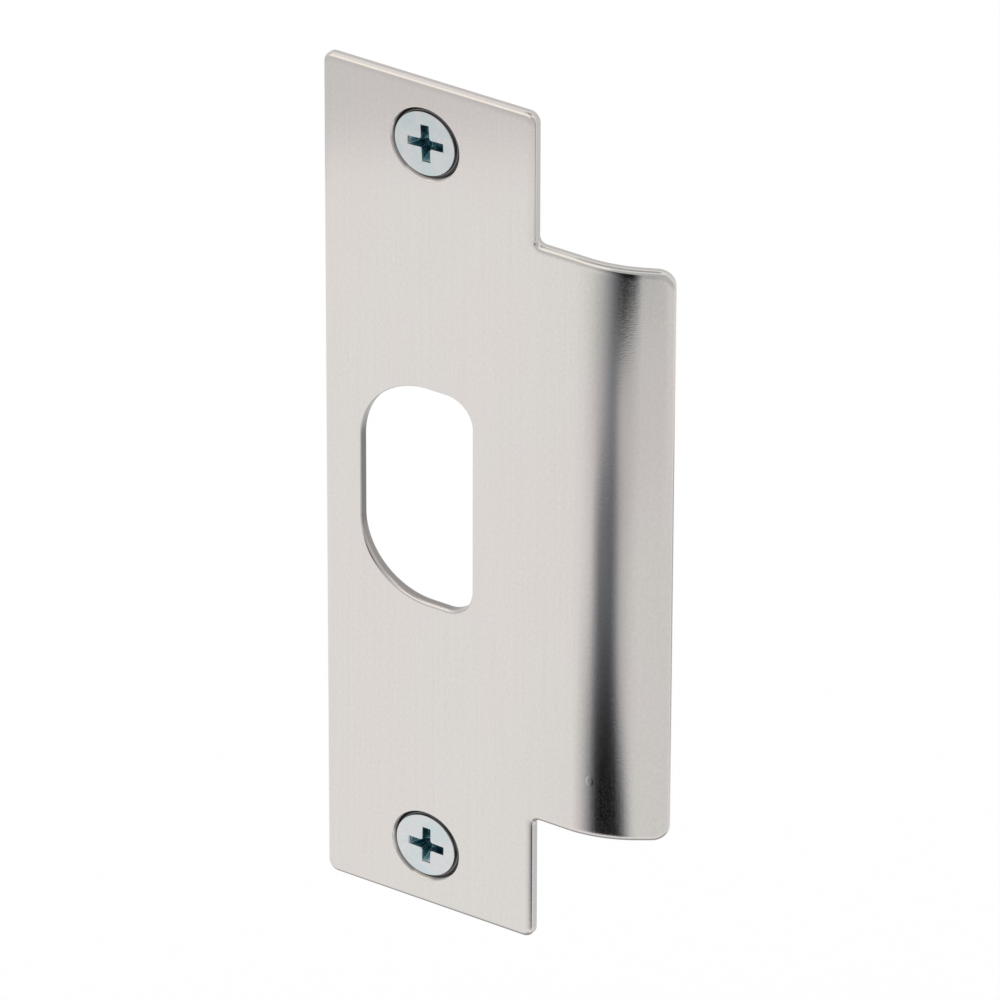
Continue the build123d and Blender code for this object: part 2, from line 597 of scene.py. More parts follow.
    def add_middle(self, skin: Skin) -> None:
        """Adds the two faces between the tabs and the latch hole's wall between them.

        Args:
            skin: the plate's surface.
        """
        left = self.left_outline().inset(self.rolled_width)
        right = np.stack([
            np.full(self.height_steps + 1, self.tab_x - self.rolled_width),
            self.split_z * self.lip_rows(),
        ], axis=-1)
        border = self.border()
        ring = np.vstack([left, border, right, border[::-1] * (1, -1)])
        latch = self.latch_hole(ring)
        for face in Face:
            skin.add(self.around(ring, latch.inset(self.latch_rolled_width), face))
        sharp, blunt = (self.edge_profile(self.latch_rolled_width, self.latch_rolled_depth,
                                          front_r, self.latch_back_edge_r)
                        for front_r in (self.latch_front_edge_r, self.latch_foot_edge_r))
        foot = smooth_step(latch.out[:, 1], *self.latch_foot_facing)[:, None]
        profile = sharp + foot[:, :, None] * (blunt - sharp)
        upper_mark = self.sheared(profile, self.latch_shear_start)
        foot_mark = self.sheared(profile, self.latch_foot_shear_start)
        mark = upper_mark + foot * (foot_mark - upper_mark)
        skin.add(self.wall(latch, profile), np.concatenate([mark, mark[:1]]))

    def add_lip(self, skin: Skin) -> None:
        """Adds the lip's two faces: at each X a column from its upper to its lower edge.

        Args:
            skin: the plate's surface.
        """
        top = self.lip_outline().inset(self.rolled_width)
        x = np.broadcast_to(top[:, None, 0], (len(top), self.height_steps + 1))
        flat = np.stack([x, top[:, None, 1] * self.lip_rows()[None, :]], axis=-1)
        for face in Face:
            skin.add(self.bent(flat, self.depth(face)))

    def build(self) -> bpy.types.Object:
        """Makes the whole sheet as one closed mesh.

        Returns:
            The plate's object.
        """
        skin = Skin()
        for tab in Tab:
            self.add_tab(skin, tab)
        self.add_middle(skin)
        self.add_lip(skin)
        outline = self.outline()
        blunt, sharp = (self.edge_profile(self.rolled_width, self.rolled_depth, front_r,
                                          self.back_edge_r)
                        for front_r in (self.front_edge_r, self.side_edge_r))
        facing = smooth_step(outline.out[:, 0], *self.side_facing)
        on_lip = smooth_step(outline.at[:, 0], self.tab_x, self.bend_x)
        side = facing * (1.0 - self.lip_end_softness * on_lip)
        profile = blunt + side[:, None, None] * (sharp - blunt)
        mark = self.outline_shear_mark * self.sheared(blunt, self.outline_shear_start)
        skin.add(self.wall(outline, profile), mark[None, :])
        plate = skin.piece("satin_plate")
        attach(plate, "root")
        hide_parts("strike_plate")
        return plate


@dataclass
class CrossRecess:
    """The cross driven into a screw's head, as the radius of its wall at each angle.

    Attributes:
        floor_rings: the floor's inner rings, each as shares of its radius and of its rise.
        mouth_ease: the round at the mouth.
        support_rings: how far beyond that round two more rings keep the face flat.
    """

    span: float = 5.2
    arm: float = 1.2
    root_r: float = 0.3
    depth: float = 2.3
    floor_span: float = 2.6
    floor_arm: float = 0.8
    floor_rise: float = 0.18
    floor_rings: tuple[Span, ...] = ((0.0, 0.0), (0.5, 0.35), (0.9, 0.8))
    mouth_ease: float = 0.14
    support_rings: Span = (0.01, 0.04)
    side_steps: int = 14
    tip_steps: int = 10
    wall_steps: int = 10
    ease_steps: int = 4

    def angles(self) -> np.ndarray:
        """Angles round the head, with one on each corner of the recess's mouth."""
        tip = math.atan2(self.arm, self.span)
        side = np.linspace(tip, math.pi / 2 - tip, 2 * self.side_steps + 1)[:-1]
        end = np.linspace(-tip, tip, self.tip_steps + 1)[:-1]
        quarter = np.concatenate([end, side])
        return np.concatenate([quarter + turn * math.pi / 2 for turn in range(4)])

    def outline(self, angle: np.ndarray, span: float, arm: float) -> np.ndarray:
        """The radius of a cross at each angle.

        Along an arm the radius is the lesser of half the span over the cosine, which is the
        arm's end, and half its width over the sine, which is its side. Between two arms the
        root is an arc about a centre on the diagonal, met by the spoke at its near side.

        Args:
            angle: angles from an arm, in radians.
            span: the cross's whole length.
            arm: the width of its arms.

        Returns:
            The radius at each angle.
        """
        off = np.abs((angle + math.pi / 4) % (math.pi / 2) - math.pi / 4)
        half_arm, root = arm / 2, self.root_r * arm / self.arm
        end = span / 2 / np.cos(off)
        side = half_arm / np.maximum(np.sin(off), TINY)
        centre = math.sqrt(2) * (half_arm + root)
        from_diagonal = math.pi / 4 - off
        inside = np.maximum(root ** 2 - (centre * np.sin(from_diagonal)) ** 2, 0.0)
        arc = centre * np.cos(from_diagonal) - np.sqrt(inside)
        on_arc = off > math.atan2(half_arm, half_arm + root)
        return np.where(on_arc, arc, np.minimum(end, side))

    def wall(self, angle: np.ndarray, top_y: float) -> tuple[np.ndarray, np.ndarray]:
        """The recess from the middle of its floor up to its mouth, ring by ring.

        Args:
            angle: the angles round the head.
            top_y: the head's face.

        Returns:
            The radius of each ring at each angle, and each ring's Y, as arrays (angles, rings).
        """
        mouth = self.outline(angle, self.span, self.arm)[:, None]
        floor = self.outline(angle, self.floor_span, self.floor_arm)[:, None]
        floor_share, rise_share = np.array(self.floor_rings).T[:, None, :]
        up = np.linspace(0.0, 1.0, self.wall_steps + 1)[None, :]
        turn = np.linspace(0.0, math.pi / 2, self.ease_steps + 1)[None, 1:]
        support = np.array(self.support_rings)[None, :]
        radius = np.concatenate([
            floor_share * floor,
            floor + up * (mouth - floor),
            mouth + self.mouth_ease * (1.0 - np.cos(turn)),
            mouth + self.mouth_ease + support,
        ], axis=1)
        floor_y = top_y + self.depth
        foot_y = floor_y - self.floor_rise
        y = np.concatenate([
            floor_y - self.floor_rise * rise_share,
            foot_y + up * (top_y + self.mouth_ease - foot_y),
            top_y + self.mouth_ease * (1.0 - np.sin(turn)),
            np.full_like(support, top_y),
        ], axis=1)
        return radius, np.broadcast_to(y, radius.shape)

    def inside(self, y: np.ndarray, top_y: float) -> np.ndarray:
        """How far inside the recess points at these Y are: 0 at its mouth and 1 below it.

        It carries the painted shade inside the recess.
        """
        return smooth_step(y, top_y + self.mouth_ease, top_y + 3 * self.mouth_ease)


@dataclass
class Screw:
    """One countersunk screw: an undercut head with a cross recess, and a rolled thread.

    Attributes:
        face_rings: how far inside the face's edge two rings keep the face flat.
        face_slope: how far the face's side spreads on its way down to the ledge round it.
        face_shift: how far the face lies off the screw's axis, towards -X.
        shift_margin: how much room the shift takes to die out, inwards and above the ledge.
        ledge_fall: how much lower the ledge is at its outer side.
        head_shade_start: how far below the face the painted shade of the ledge starts and is full.
        head_shade_end: the Y at which that painted shade starts to fade and has ended.
        crest_flat: the flat at the thread's crest, as a share of the pitch.
        flank: the share of the pitch that the thread's two flanks take.
        run_in: how many pitches the thread grows over, from the neck.
    """

    tab: Tab
    node: str
    turn_deg: float
    spacing: float = 104.775
    front_y: float = -1.4
    head_recess: float = 0.1
    head_d: float = 9.6
    head_deg: float = 82.0
    head_rim: float = 0.27
    face_r: float = 4.46
    face_rings: Span = (0.25, 0.15)
    face_edge_r: float = 0.07
    face_slope: float = 0.05
    face_shift: float = 0.13
    shift_margin: float = 0.05
    ledge_depth: float = 0.42
    ledge_fall: float = 0.02
    ledge_inner_r: float = 0.04
    ledge_outer_r: float = 0.02
    # The painted shade down the head's side, where it sits in the countersink.
    head_shade_start: Span = (0.04, 0.16)
    head_shade_end: Span = (-0.7, -0.2)
    underside_r: float = 0.15
    neck_length: float = 0.9
    length: float = 9.525
    thread_d: float = 4.83
    pitch: float = 25.4 / 24
    thread_depth: float = 0.62
    crest_flat: float = 0.14
    flank: float = 0.68
    run_in: float = 0.6
    tip_chamfer: float = 0.6
    tip_r: float = 0.1
    rows_per_pitch: int = 20
    head_arc_steps: int = 6
    tip_arc_steps: int = 5
    straight_steps: int = 5
    recess: CrossRecess = field(default_factory=CrossRecess)

    def __post_init__(self) -> None:
        """Works out the sizes that follow from the driving ones."""
        self.top_y = self.front_y + self.head_recess
        self.tip_y = self.top_y + self.length
        self.thread_end_y = self.tip_y - self.tip_chamfer

    def body_profile(self) -> np.ndarray:
        """The turned outside, from the head's face to the middle of the tip, as (radius, Y)."""
        rim_y = self.top_y + self.head_rim
        head_r, thread_r = self.head_d / 2, self.thread_d / 2
        slope = math.tan(math.radians(self.head_deg / 2))
        neck_r = thread_r - self.thread_depth
        inner_ring, outer_ring = self.face_rings
        ledge_y = self.top_y + self.ledge_depth
        ledge_r = head_r - (ledge_y - rim_y) * slope
        head = eased_path([
            (self.face_r - inner_ring, self.top_y, 0.0),
            (self.face_r - outer_ring, self.top_y, 0.0),
            (self.face_r, self.top_y, self.face_edge_r),
            (self.face_r + self.face_slope, ledge_y, self.ledge_inner_r),
            (ledge_r, ledge_y + self.ledge_fall, self.ledge_outer_r),
            (head_r + rim_y * slope, 0.0, self.underside_r),
            (neck_r, 0.0, self.underside_r),
            (neck_r, self.neck_length, 0.0),
        ], arc_steps=self.head_arc_steps, straight_steps=self.straight_steps)
        turns = (self.thread_end_y - self.neck_length) / self.pitch
        rows = np.linspace(self.neck_length, self.thread_end_y,
                           round(turns * self.rows_per_pitch) + 1)[1:]
        thread = np.stack([np.full_like(rows, thread_r), rows], axis=-1)
        tip = eased_path([
            (thread_r, self.thread_end_y, 0.0),
            (thread_r - self.tip_chamfer, self.tip_y, self.tip_r),
            (0.0, self.tip_y, 0.0),
        ], arc_steps=self.tip_arc_steps, straight_steps=self.straight_steps)[1:]
        return np.vstack([head, thread, tip])

    def cut_thread(self, angle: np.ndarray, radius: np.ndarray, y: np.ndarray) -> np.ndarray:
        """Takes the thread's groove out of the turned radius.

        The groove's phase is the share of a pitch at that Y, less the share of a turn at that
        angle, so it winds round as a helix. Across the pitch it is a V with a narrow flat at its
        crest and at its root. Its crest grows out of the neck, and the tip's chamfer cuts it off.

        Args:
            angle: angles round the screw, as a column.
            radius: the turned radius at each point.
            y: the Y of each point.

        Returns:
            The radius with the thread cut.
        """
        phase = (y / self.pitch - angle / (2 * math.pi)) % 1.0
        from_crest = 1.0 - np.abs(2.0 * phase - 1.0)
        groove = np.clip((from_crest - self.crest_flat) / self.flank, 0.0, 1.0)
        grown = np.clip((y - self.neck_length) / (self.run_in * self.pitch), 0.0, 1.0)
        root = self.thread_d / 2 - self.thread_depth
        cut = root + self.thread_depth * grown * (1.0 - groove)
        return np.where(y > self.neck_length, np.minimum(radius, cut), radius)

    def painted_groove_shade(self, y: np.ndarray) -> np.ndarray:
        """The painted shade down the head's side: 0 on its face and underside, -1 between."""
        inside = smooth_step(y - self.top_y, *self.head_shade_start)
        return -inside * (1.0 - smooth_step(y, *self.head_shade_end))

    def build(self) -> bpy.types.Object:
        """Makes the screw as one grid, from the recess's floor over the head to the tip.

        Returns:
            The screw's object.
        """
        angle = self.recess.angles()[:, None]
        inner_radius, inner_y = self.recess.wall(angle[:, 0], self.top_y)
        profile = self.body_profile()
        outer_y = np.broadcast_to(profile[None, :, 1], (len(angle), len(profile)))
        outer_radius = np.broadcast_to(profile[None, :, 0], outer_y.shape)
        outer_radius = self.cut_thread(angle, outer_radius, outer_y)
        radius = np.concatenate([inner_radius, outer_radius], axis=1)
        y = np.concatenate([inner_y, outer_y], axis=1)
        # The mark carries painted shade: inside the recess, and down the head's side.
        mark = np.concatenate([self.recess.inside(inner_y, self.top_y), self.painted_groove_shade(outer_y)],
                              axis=1)
        turned = angle - math.radians(self.turn_deg)
        centre_z = self.tab.value * self.spacing / 2
        flat_r = self.face_r - self.face_rings[0]
        on_face = smooth_step(radius, flat_r - self.shift_margin, flat_r)
        on_face = on_face * (y < self.top_y + self.ledge_depth - self.shift_margin)
        x = radius * np.cos(turned) - self.face_shift * on_face
        grid = np.stack([x, y, centre_z + radius * np.sin(turned)], axis=-1)
        skin = Skin()
        skin.add(np.concatenate([grid, grid[:1]]), np.concatenate([mark, mark[:1]]))
        screw = skin.piece(f"zinc_{self.node}")
        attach(screw, "root")
        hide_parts(self.node)
        return screw


@dataclass(frozen=True)
class Grain:
    """A noise pattern: the size of its blobs along X, Y and Z in millimetres, and its detail."""

    size: tuple[float, float, float]
    detail: float


class Bench:
    """A node tree on which a finish is made. Every node comes from its node method."""

    def __init__(self, tree: bpy.types.NodeTree) -> None:
        """Clears the tree."""
        self.tree = tree
        tree.nodes.clear()

    @staticmethod
    def material(name: str) -> tuple[bpy.types.Material, "Bench"]:
        """A new material, and the bench on which its nodes are made."""
        material = bpy.data.materials.new(name)
        material.use_nodes = True
        return material, Bench(material.node_tree)

    def node(self, kind: str, settings: dict | None = None,
             values: dict | None = None) -> bpy.types.Node:
        """Makes one node.

        Args:
            kind: the node's type.
            settings: its own settings, set first.
            values: for each input, by name or number, a value or what is linked to it.

        Returns:
            The node.
        """
        made = self.tree.nodes.new(kind)
        for name, setting in (settings or {}).items():
            setattr(made, name, setting)
        for name, value in (values or {}).items():
            if isinstance(value, Wire):
                value = value.socket
            if isinstance(value, bpy.types.NodeSocket):
                self.tree.links.new(value, made.inputs[name])
            else:
                made.inputs[name].default_value = value
        return made

    def place(self) -> bpy.types.NodeSocket:
        """Object coordinates, which are the frame's, in metres."""
        return self.node("ShaderNodeTexCoord").outputs["Object"]

    def axes(self, place: bpy.types.NodeSocket) -> tuple["Wire", "Wire", "Wire"]:
        """The X, Y and Z of a place, in millimetres."""
        split = self.node("ShaderNodeSeparateXYZ", values={0: place})
        x, y, z = (Wire(self, output) / MM for output in split.outputs)
        return x, y, z

    def mark(self) -> "Wire":
        """The mark that the piece's mesh carries, from -1 to 1."""
        read = self.node("ShaderNodeAttribute", {"attribute_name": MARK})
        return Wire(self, read.outputs["Fac"])

    def grain(self, place: bpy.types.NodeSocket, grain: Grain) -> "Wire":
        """Noise from about 0 to 1, with its coordinates divided by the size of its blobs.

        Args:
            place: where the noise is read.
            grain: its size and detail.

        Returns:
            The noise.
        """
        scale = tuple(1.0 / (MM * length) for length in grain.size)
        stretched = self.node("ShaderNodeMapping", values={"Vector": place, "Scale": scale})
        noise = self.node("ShaderNodeTexNoise", values={
            "Vector": stretched.outputs[0], "Scale": 1.0, "Detail": grain.detail,
        })
        return Wire(self, noise.outputs[0])

    def blend(self, factor: "Wire", first: object, second: object) -> bpy.types.NodeSocket:
        """A colour that goes from the first to the second as the factor goes from 0 to 1."""
        mix = self.node("ShaderNodeMix", {"data_type": "RGBA"}, {0: factor, 6: first, 7: second})
        return mix.outputs[2]

    def tint(self, colour: object, level: "Wire") -> bpy.types.NodeSocket:
        """A colour times a level, which may vary."""
        scaled = self.node("ShaderNodeVectorMath", {"operation": "SCALE"},
                           {0: colour, "Scale": level})
        return scaled.outputs[0]

    def finish(self, surface: bpy.types.Node) -> None:
        """Ends a material with its surface."""
        self.node("ShaderNodeOutputMaterial", values={"Surface": surface.outputs[0]})

    def metal(self, colour: bpy.types.NodeSocket, roughness: "Wire", height: "Wire") -> None:
        """Ends a material with bare metal.

        Args:
            colour: its colour.
            roughness: its roughness.
            height: its fine relief, in millimetres.
        """
        bump = self.node("ShaderNodeBump", values={
            "Strength": 1.0, "Distance": MM, "Height": height,
        })
        self.finish(self.node("ShaderNodeBsdfPrincipled", values={
            "Base Color": colour,
            "Metallic": 1.0,
            "Roughness": roughness,
            "Normal": bump.outputs[0],
        }))


class Wire:
    """A number that a shader socket carries, so that its sums are written as Python."""

    def __init__(self, bench: Bench, socket: bpy.types.NodeSocket) -> None:
        """Wraps a socket of a bench."""
        self.bench = bench
        self.socket = socket

    def sum(self, operation: str, *terms: object) -> "Wire":
        """Adds the Math node for one operation on these terms."""
        node = self.bench.node("ShaderNodeMath", {"operation": operation},
                               dict(enumerate(terms)))
        return Wire(self.bench, node.outputs[0])

    def __add__(self, other: object) -> "Wire":
        """This and another, added."""
        return self.sum("ADD", self, other)

    def __radd__(self, other: object) -> "Wire":
        """Another and this, added."""
        return self.sum("ADD", other, self)

    def __sub__(self, other: object) -> "Wire":
        """This less another."""
        return self.sum("SUBTRACT", self, other)

    def __rsub__(self, other: object) -> "Wire":
        """Another less this."""
        return self.sum("SUBTRACT", other, self)

    def __mul__(self, other: object) -> "Wire":
        """This times another."""
        return self.sum("MULTIPLY", self, other)

    def __rmul__(self, other: object) -> "Wire":
        """Another times this."""
        return self.sum("MULTIPLY", other, self)

    def __truediv__(self, other: object) -> "Wire":
        """This over another."""
        return self.sum("DIVIDE", self, other)

    def __pow__(self, power: object) -> "Wire":
        """This to a power."""
        return self.sum("POWER", self, power)

    def between(self, first: float, last: float) -> "Wire":
        """The value that goes from the first to the last as this goes from 0 to 1."""
        return first + self * (last - first)

    def root(self) -> "Wire":
        """The square root."""
        return self.sum("SQRT", self)

    def at_most(self, limit: float) -> "Wire":
        """This, or the limit where that is less."""
        return self.sum("MINIMUM", self, limit)

    def angle_to(self, other: "Wire") -> "Wire":
        """The angle in degrees of the point with this across and the other ahead."""
        return self.sum("ARCTAN2", self, other) * math.degrees(1.0)

    def ramp(self, low: float, high: float, kind: str = "LINEAR") -> "Wire":
        """0 up to low and 1 from high on, with a rise of one kind between them."""
        node = self.bench.node("ShaderNodeMapRange", {"interpolation_type": kind},
                               {"Value": self, "From Min": low, "From Max": high})
        return Wire(self.bench, node.outputs[0])

    def step(self, low: float, high: float) -> "Wire":
        """0 up to low and 1 from high on, with a smooth rise between them."""
        return self.ramp(low, high, "SMOOTHSTEP")

    def within(self, low: float, low_full: float, high_full: float, high: float) -> "Wire":
        """1 between the two full values and 0 outside low and high, with smooth sides."""
        return self.step(low, low_full) * (1 - self.step(high_full, high))


@dataclass(frozen=True)
class SatinSteel:
    """Satin stainless steel: a fine grain up the sheet, faint patches, and duller sheared walls.

    Inside the countersinks it carries painted shade.

    Attributes:
        pink_above: the patch noise between which the green goes over into the pink.
        streak: how strongly the long streaks change its level.
        mottle: how strongly the small mottle does.
        unevenness: how strongly both change its roughness.
        sheared_level: the level of a sheared wall.
        sheared_roughness: how much rougher such a wall is.
        rough_from: the mark between which the roughness takes over.
        countersink_shade_level: the level of the painted shade inside a countersink.
        nick_at: the middle of the one small mark on the lip, which stands out a little.
        nick_core: the share of its radius where it has its full height.
        nick_narrow: how many times narrower it is across than along.
    """

    green: Colour = (0.700, 0.674, 0.644)
    pink: Colour = (0.716, 0.670, 0.649)
    pink_above: Span = (0.4, 0.6)
    roughness: float = 0.11
    unevenness: float = 0.05
    streak: float = 0.055
    mottle: float = 0.13
    patch_grain: Grain = Grain((14.0, 14.0, 26.0), 1.0)
    streak_grain: Grain = Grain((0.45, 0.45, 30.0), 3.0)
    mottle_grain: Grain = Grain((0.35, 0.35, 0.5), 3.0)
    fine_grain: Grain = Grain((0.5, 0.5, 0.15), 2.0)
    fine_height: float = 0.0022
    mottle_height: float = 0.0015
    sheared_level: float = 0.46
    sheared_roughness: float = 0.16
    rough_from: Span = (0.0, 0.3)
    # The level of the painted shade inside the countersinks.
    countersink_shade_level: float = 0.45
    nick_at: tuple[float, float, float] = (24.9, -1.2, -34.0)
    nick_r: float = 0.9
    nick_core: float = 0.4
    nick_narrow: float = 1.5
    nick_height: float = 0.008

    def nick(self, bench: Bench, place: bpy.types.NodeSocket) -> Wire:
        """The small raised mark: 1 in its middle and 0 from its radius on."""
        across, behind, up = (axis - middle
                              for axis, middle in zip(bench.axes(place), self.nick_at))
        away = ((across * self.nick_narrow) ** 2 + behind ** 2 + up ** 2).root()
        return 1 - away.step(self.nick_core * self.nick_r, self.nick_r)

    def material(self) -> bpy.types.Material:
        """Makes the material."""
        material, bench = Bench.material("satin_steel")
        place = bench.place()
        patches = bench.grain(place, self.patch_grain)
        streaks = bench.grain(place, self.streak_grain)
        mottle = bench.grain(place, self.mottle_grain)
        fine = bench.grain(place, self.fine_grain)
        sheared = bench.mark().ramp(0.0, 1.0)
        # Painted shade inside the countersinks, where the mark falls below 0.
        groove = (0 - bench.mark()).step(0.0, 1.0)
        level = 1 + (streaks - 0.5) * self.streak + (mottle - 0.5) * self.mottle
        level = level * (1 - sheared * (1 - self.sheared_level))
        # Painted shade: darker inside the countersinks.
        level = level * (1 - groove * (1 - self.countersink_shade_level))
        colour = bench.blend(patches.step(*self.pink_above), opaque(self.green), opaque(self.pink))
        rough = self.roughness + (streaks + mottle - 1) * self.unevenness
        rough = rough + sheared.step(*self.rough_from) * self.sheared_roughness
        height = fine * self.fine_height + mottle * self.mottle_height
        height = height + self.nick(bench, place) * self.nick_height
        bench.metal(bench.tint(colour, level), rough, height)
        return material


@dataclass(frozen=True)
class BrightZinc:
    """Bright zinc plate: faintly blue and slightly clouded, with painted shade in its hollows.

    The painted shade is dark teal inside the cross recess and dark grey down the head's side.

    Attributes:
        cloud_above: the cloud noise between which the face's colour goes over into the cloud's.
        mottle: how strongly the small mottle changes its level.
        unevenness: how strongly it changes its roughness.
    """

    face: Colour = (0.60, 0.67, 0.685)
    cloud: Colour = (0.67, 0.68, 0.69)
    cloud_above: Span = (0.4, 0.6)
    # Painted shade: dark teal inside the cross recess, and dark grey down the head's side.
    recess: Colour = (0.22, 0.36, 0.40)
    groove: Colour = (0.20, 0.20, 0.20)
    roughness: float = 0.2
    unevenness: float = 0.06
    mottle: float = 0.16
    cloud_grain: Grain = Grain((2.5, 2.5, 2.5), 2.0)
    mottle_grain: Grain = Grain((0.3, 0.3, 0.3), 3.0)
    mottle_height: float = 0.002

    def material(self) -> bpy.types.Material:
        """Makes the material."""
        material, bench = Bench.material("bright_zinc")
        place = bench.place()
        clouds = bench.grain(place, self.cloud_grain)
        mottle = bench.grain(place, self.mottle_grain)
        # Painted shade inside the cross recess, where the mark rises above 0.
        inside = bench.mark().ramp(0.0, 1.0)
        # Painted shade down the head's side, where the mark falls below 0.
        groove = (0 - bench.mark()).step(0.0, 1.0)
        face = bench.blend(clouds.step(*self.cloud_above), opaque(self.face), opaque(self.cloud))
        level = 1 + (mottle - 0.5) * self.mottle
        # Painted shade: dark teal inside the cross recess.
        colour = bench.blend(inside, bench.tint(face, level), opaque(self.recess))
        # Painted shade: dark grey down the head's side.
        colour = bench.blend(groove, colour, opaque(self.groove))
        rough = self.roughness + (mottle - 0.5) * self.unevenness
        bench.metal(colour, rough, mottle * self.mottle_height)
        return material


@dataclass(frozen=True)
class DarkGap:
    """A dark gap between the pale screens round the object, as its metal mirrors it.

    It leans and changes from its foot to its head. Azimuths are in degrees from straight in
    front, towards +X, and heights are in millimetres.

    Attributes:
        azimuth: its middle, at its foot and at its head.
        half_width: half its width there.
        strength: how dark it is there, from 0 to 1.
        height: the heights of its foot and its head.
        soft: how many degrees its left and right sides fade over.
        ends: the heights at which it starts and is full below, and is full and ends above.
    """

    azimuth: Span
    half_width: Span
    strength: Span
    height: Span
    soft: Span
    ends: Window

    def cover(self, azimuth: Wire, height: Wire) -> Wire:
        """How much of the screen it takes away at each place.

        It is the product of four masks: one for its left and one for its right side, whose
        middle and width go evenly from foot to head, one for its ends, and its strength.

        Args:
            azimuth: each place's azimuth.
            height: each place's height.

        Returns:
            The share taken away, from 0 to 1.
        """
        rise = height.ramp(*self.height)
        off = azimuth - rise.between(*self.azimuth)
        wide = rise.between(*self.half_width)
        left, right = self.soft
        left_side = (wide + off).step(-left / 2, left / 2)
        right_side = (wide - off).step(-right / 2, right / 2)
        strength = height.step(*self.height).between(*self.strength)
        return left_side * right_side * height.within(*self.ends) * strength


@dataclass
class Studio:
    """A pale floor, pale screens round the object with dark gaps, soft light and the camera.

    Azimuths are in degrees from straight in front, towards +X, and heights in millimetres.

    Attributes:
        front: the azimuths in front, where the screens are dimmer higher up.
        front_drops: each fall of their level there, as how much and between which heights.
        past_left: the azimuths between which the level falls by past_left_drop.
        right: the azimuths on the right where it is lower by right_drop.
        rear: the azimuths between which it falls by rear_drop, towards the back.
        panel: the azimuths of the warm brighter panel, above the heights in panel_rise.
        side: the azimuths between which the cool side starts, below the heights in side_top.
        faded: the screens' colour in the gaps, where their level is below that in faded_below.
        foot_level, head_level: the level in the middle of the disc below and the one above.
        foot_bright, head_bright: how far from its middle each disc brightens and is full.
    """

    floor_z: float = -200.0
    floor_half: float = 6000.0
    floor_level: float = 1.0
    sky_level: float = 0.92
    sun_level: float = 0.29
    sun_size_deg: float = 50.0
    sun_azimuth: float = -38.0
    sun_elevation: float = 60.0
    screen_centre_x: float = 10.0
    screen_r: float = 200.0
    screen_low_z: float = -195.0
    screen_high_z: float = 260.0
    screen_steps: int = 180
    disc_steps: int = 90
    foot_level: float = 0.45
    foot_bright: Span = (90.0, 170.0)
    head_level: float = 0.5
    head_bright: Span = (75.0, 115.0)
    faded: Colour = (0.92, 0.98, 1.08)
    faded_below: Span = (0.1, 0.7)
    front: Window = (-110.0, -85.0, 85.0, 110.0)
    front_drops: tuple[tuple[float, Span], ...] = ((0.22, (-59.0, -51.0)), (0.06, (-45.0, -20.0)))
    past_left: Span = (-32.0, -26.0)
    past_left_drop: float = 0.05
    right: Window = (2.0, 22.0, 60.0, 90.0)
    right_drop: float = 0.12
    rear: Span = (85.0, 110.0)
    rear_drop: float = 0.06
    side: Span = (100.0, 130.0)
    side_top: Span = (-154.0, -142.0)
    side_colour: Colour = (0.93, 0.995, 1.06)
    panel: Window = (-80.0, -60.0, 2.0, 12.0)
    panel_rise: Span = (65.0, 150.0)
    panel_level: float = 0.5
    panel_colour: Colour = (1.05, 1.0, 0.92)
    camera_azimuth: float = 32.2055
    camera_elevation: float = 31.0037
    camera_roll: float = 0.002822
    camera_distance: float = 1400.05
    camera_aim: tuple[float, float, float] = (11.306, -1.4, 3.930)
    camera_lens: float = 395.54

    # The first three gaps make the dark band down the lip, and the last two lie behind.
    gaps: tuple[DarkGap, ...] = (
        DarkGap(azimuth=(3.8, -5.1), half_width=(18.5, 6.2), strength=(1.0, 0.36),
                height=(-162.0, -122.0), soft=(30.0, 17.0), ends=(-225.0, -205.0, -76.0, -62.0)),
        DarkGap(azimuth=(4.0, 15.0), half_width=(11.3, 14.1), strength=(0.6, 0.24),
                height=(-116.0, -95.0), soft=(10.9, 30.0), ends=(-225.0, -205.0, -76.0, -62.0)),
        DarkGap(azimuth=(7.2, 16.6), half_width=(4.0, 12.9), strength=(0.9, 0.99),
                height=(-87.0, -72.0), soft=(30.0, 11.0), ends=(-176.0, -166.0, 10.0, 60.0)),
        DarkGap(azimuth=(148.0, 148.0), half_width=(32.0, 32.0), strength=(0.4, 0.4),
                height=(-140.0, -90.0), soft=(20.0, 20.0), ends=(-152.0, -140.0, -96.0, -84.0)),
        DarkGap(azimuth=(-148.0, -148.0), half_width=(45.0, 45.0), strength=(0.15, 0.15),
                height=(80.0, 180.0), soft=(40.0, 40.0), ends=(60.0, 110.0, 190.0, 250.0)),
    )

    def direction(self, azimuth: float, elevation: float) -> Vector:
        """The unit direction from the object towards an azimuth and elevation, in degrees."""
        a, e = math.radians(azimuth), math.radians(elevation)
        return Vector((math.sin(a) * math.cos(e), -math.cos(a) * math.cos(e), math.sin(e)))

    def add_camera(self) -> None:
        """Sets the camera at the photograph's angle, looking at its aim, with a slight roll."""
        data = bpy.data.cameras.new("camera")
        data.lens = self.camera_lens
        camera = bpy.data.objects.new("camera", data)
        bpy.context.scene.collection.objects.link(camera)
        back = self.direction(self.camera_azimuth, self.camera_elevation)
        level = Vector((0, 0, 1)).cross(back).normalized()
        up = back.cross(level)
        cosine, sine = math.cos(self.camera_roll), math.sin(self.camera_roll)
        right = cosine * level + sine * up
        above = cosine * up - sine * level
        place = (Vector(self.camera_aim) + self.camera_distance * back) * MM
        turned = Matrix((right, above, back)).transposed().to_4x4()
        camera.matrix_world = Matrix.Translation(place) @ turned
        bpy.context.scene.camera = camera

    def add_floor(self) -> None:
        """Lays the plain pale floor, below the object, which is held up by its screws."""
        half = self.floor_half * MM
        z = self.floor_z * MM
        mesh = bpy.data.meshes.new("floor")
        mesh.from_pydata([(-half, -half, z), (half, -half, z), (half, half, z), (-half, half, z)],
                         [], [(0, 1, 2, 3)])
        floor = bpy.data.objects.new("floor", mesh)
        bpy.context.scene.collection.objects.link(floor)
        material, bench = Bench.material("pale_floor")
        pale = opaque((self.floor_level,) * 3)
        bench.finish(bench.node("ShaderNodeBsdfDiffuse", values={"Color": pale}))
        mesh.materials.append(material)

